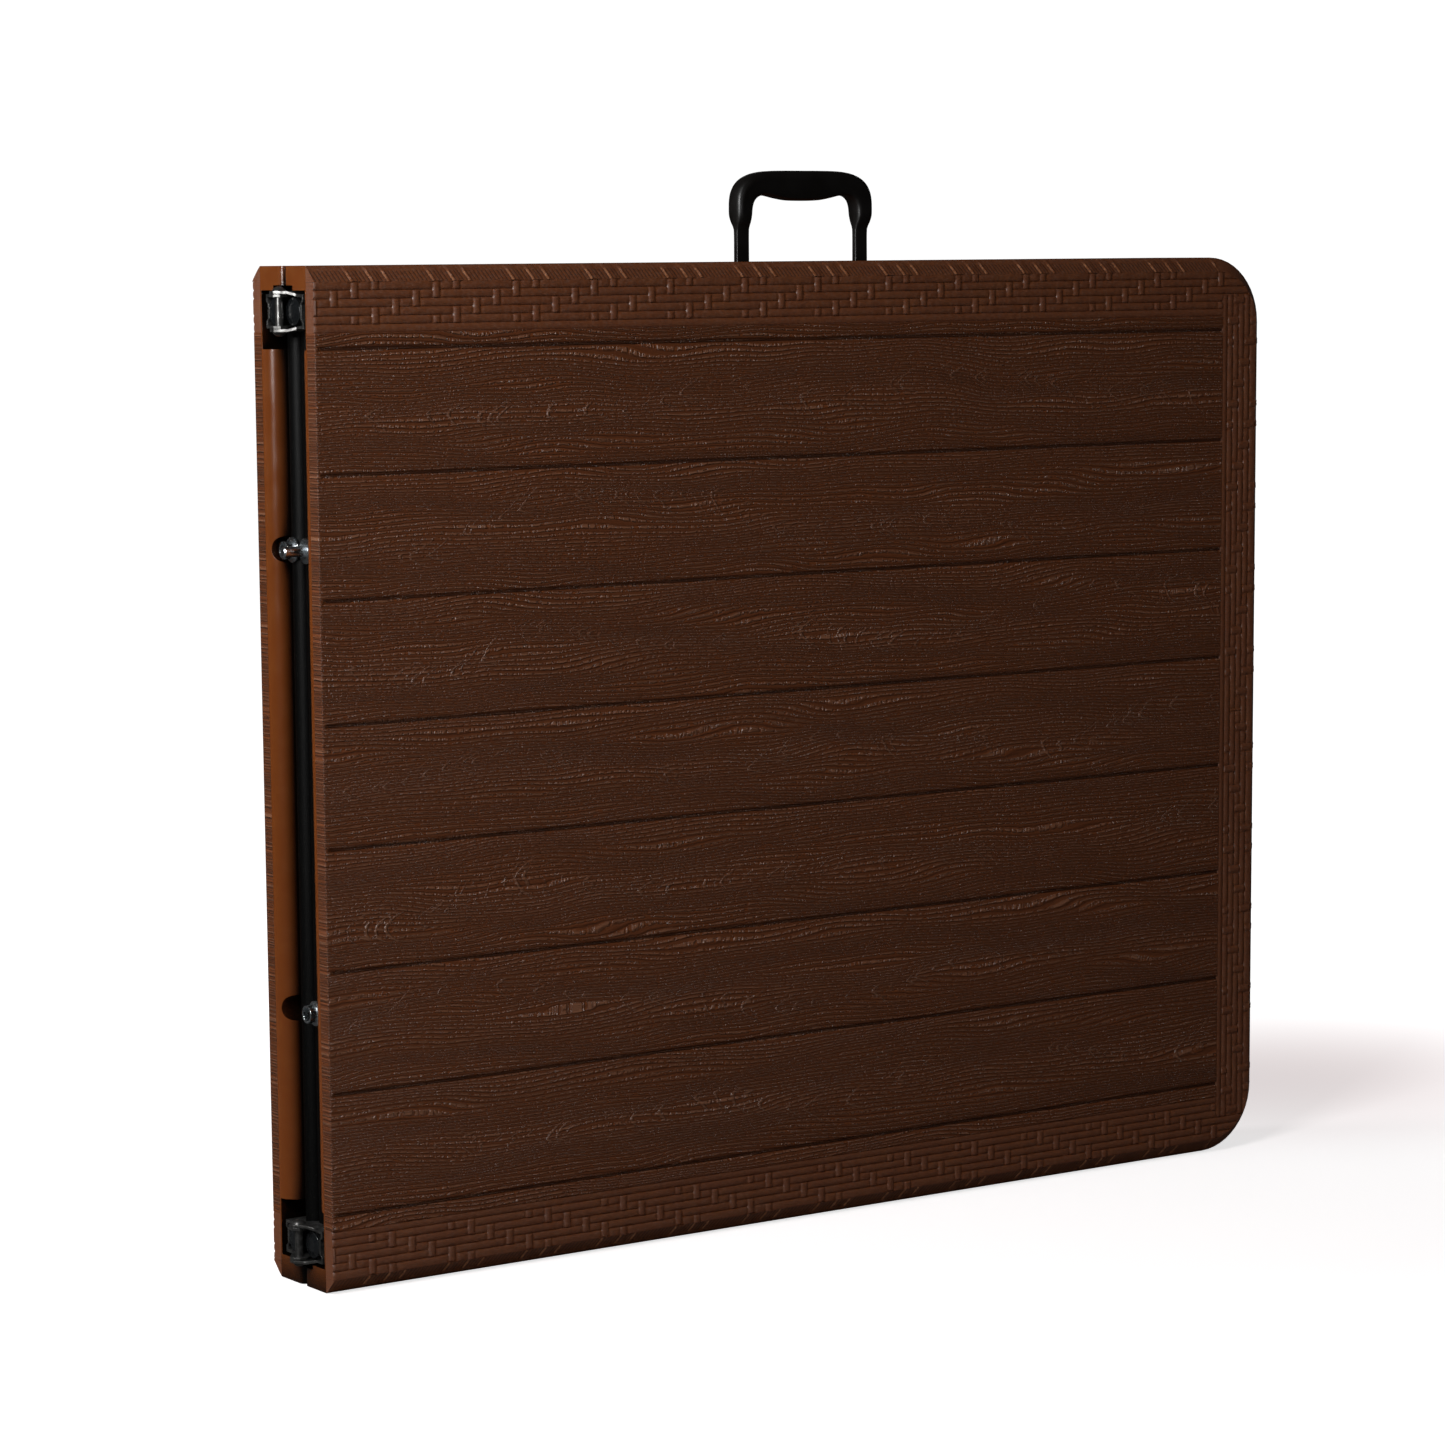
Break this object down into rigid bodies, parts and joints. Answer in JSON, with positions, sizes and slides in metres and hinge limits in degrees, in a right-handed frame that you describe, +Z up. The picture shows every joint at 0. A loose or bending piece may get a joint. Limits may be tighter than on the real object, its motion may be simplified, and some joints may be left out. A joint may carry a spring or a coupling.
{
  "type": "folding table",
  "caption": "Rectangular folding table in two hinged moulded halves with folding leg frames and a carry handle, shown folded and standing on a long edge.",
  "frame": {"origin": "middle of the folded table's footprint, on the floor it stands on", "axes": "+X from the hinged fold end to the outer end, -Y out of the front half's tabletop, +Z up to the carry handle"},
  "size_m": [0.9154, 0.09, 0.819],
  "materials": {
    "moulded_top": "satin",
    "black_steel": "textured powder coat",
    "hinge_steel": "satin, darkened",
    "zinc_steel": "bright zinc plate",
    "black_gloss_plastic": "gloss",
    "black_plastic": "fine texture",
    "foot_rubber": "matte"
  },
  "bodies": {
    "front_half": {"front_top": "moulded_top", "front_rail_lower": "black_steel", "front_rail_upper": "black_steel", "front_rail_plugs": "black_gloss_plastic", "front_end_tube": "black_steel", "hinge_bracket_front_lower": "hinge_steel", "hinge_bracket_front_upper": "hinge_steel", "front_guide_bush": "zinc_steel", "front_leg_brackets": "black_steel", "front_brace_anchor": "black_steel", "front_anchor_rivets": "zinc_steel", "front_leg_clips": "black_plastic", "front_frame_screws": "zinc_steel", "hinge_pin_lower": "hinge_steel", "hinge_pin_upper": "hinge_steel", "alignment_dowel": "zinc_steel"},
    "back_half": {"back_top": "moulded_top", "back_rail_lower": "black_steel", "back_rail_upper": "black_steel", "back_rail_plugs": "black_gloss_plastic", "back_end_tube": "black_steel", "hinge_bracket_back_lower": "hinge_steel", "hinge_bracket_back_upper": "hinge_steel", "back_guide_bush": "zinc_steel", "back_leg_brackets": "black_steel", "back_brace_anchor": "black_steel", "back_anchor_rivets": "zinc_steel", "back_leg_clips": "black_plastic", "back_frame_screws": "zinc_steel"},
    "front_leg": {"front_leg_pivot_tube": "black_steel", "front_leg_tube_lower": "black_steel", "front_leg_tube_upper": "black_steel", "front_leg_crossbar": "black_steel", "front_leg_collars": "black_plastic"},
    "front_foot_lower": {"front_foot_tube_lower": "black_steel", "front_foot_cap_lower": "foot_rubber"},
    "front_foot_upper": {"front_foot_tube_upper": "black_steel", "front_foot_cap_upper": "foot_rubber"},
    "front_brace": {"front_brace": "black_steel"},
    "front_link": {"front_brace_link": "black_steel", "front_knee_rivets": "zinc_steel"},
    "back_leg": {"back_leg_pivot_tube": "black_steel", "back_leg_tube_lower": "black_steel", "back_leg_tube_upper": "black_steel", "back_leg_crossbar": "black_steel", "back_leg_collars": "black_plastic"},
    "back_foot_lower": {"back_foot_tube_lower": "black_steel", "back_foot_cap_lower": "foot_rubber"},
    "back_foot_upper": {"back_foot_tube_upper": "black_steel", "back_foot_cap_upper": "foot_rubber"},
    "back_brace": {"back_brace": "black_steel"},
    "back_link": {"back_brace_link": "black_steel", "back_knee_rivets": "zinc_steel"},
    "handle": {"handle": "black_plastic", "handle_stop_left": "black_plastic", "handle_stop_right": "black_plastic"}
  },
  "joints": [
    {"name": "table_fold", "type": "hinge", "parent": "front_half", "child": "back_half", "pos_m": [-0.45045, 0, 0.375], "axis": [0, 0, 1], "range_deg": [0, 180]},
    {"name": "front_leg_swing", "type": "hinge", "parent": "front_half", "child": "front_leg", "pos_m": [0.41975, -0.0125, 0.375], "axis": [0, 0, 1], "range_deg": [-90, 0]},
    {"name": "front_foot_slide_lower", "type": "slide", "parent": "front_leg", "child": "front_foot_lower", "axis": [-1, 0, 0], "range_m": [0, 0.0955]},
    {"name": "front_foot_slide_upper", "type": "slide", "parent": "front_leg", "child": "front_foot_upper", "axis": [-1, 0, 0], "range_m": [0, 0.0955]},
    {"name": "front_brace_turn", "type": "hinge", "parent": "front_leg", "child": "front_brace", "pos_m": [0.11975, -0.0125, 0.42], "axis": [0, 0, 1], "range_deg": [0, 125.55]},
    {"name": "front_link_turn", "type": "hinge", "parent": "front_half", "child": "front_link", "pos_m": [-0.00025, -0.0125, 0.42], "axis": [0, 0, 1], "range_deg": [-144.47, 0]},
    {"name": "back_leg_swing", "type": "hinge", "parent": "back_half", "child": "back_leg", "pos_m": [0.41975, 0.0125, 0.375], "axis": [0, 0, 1], "range_deg": [0, 90]},
    {"name": "back_foot_slide_lower", "type": "slide", "parent": "back_leg", "child": "back_foot_lower", "axis": [-1, 0, 0], "range_m": [0, 0.0955]},
    {"name": "back_foot_slide_upper", "type": "slide", "parent": "back_leg", "child": "back_foot_upper", "axis": [-1, 0, 0], "range_m": [0, 0.0955]},
    {"name": "back_brace_turn", "type": "hinge", "parent": "back_leg", "child": "back_brace", "pos_m": [0.11975, 0.0125, 0.33], "axis": [0, 0, 1], "range_deg": [-125.55, 0]},
    {"name": "back_link_turn", "type": "hinge", "parent": "back_half", "child": "back_link", "pos_m": [-0.00025, 0.0125, 0.33], "axis": [0, 0, 1], "range_deg": [0, 144.47]},
    {"name": "handle_slide", "type": "slide", "parent": "front_half", "child": "handle", "axis": [0, 0, 1], "range_m": [-0.025, 0]}
  ],
  "couplings": [
    {"joint": "front_leg_swing", "follows": "table_fold", "ratio": -0.5},
    {"joint": "front_foot_slide_lower", "follows": "table_fold", "m_per_rad": 0.030399},
    {"joint": "front_foot_slide_upper", "follows": "table_fold", "m_per_rad": 0.030399},
    {"joint": "front_brace_turn", "follows": "table_fold", "ratio": 0.69743},
    {"joint": "front_link_turn", "follows": "table_fold", "ratio": -0.80257},
    {"joint": "back_leg_swing", "follows": "table_fold", "ratio": 0.5},
    {"joint": "back_foot_slide_lower", "follows": "table_fold", "m_per_rad": 0.030399},
    {"joint": "back_foot_slide_upper", "follows": "table_fold", "m_per_rad": 0.030399},
    {"joint": "back_brace_turn", "follows": "table_fold", "ratio": -0.69743},
    {"joint": "back_link_turn", "follows": "table_fold", "ratio": 0.80257}
  ]
}
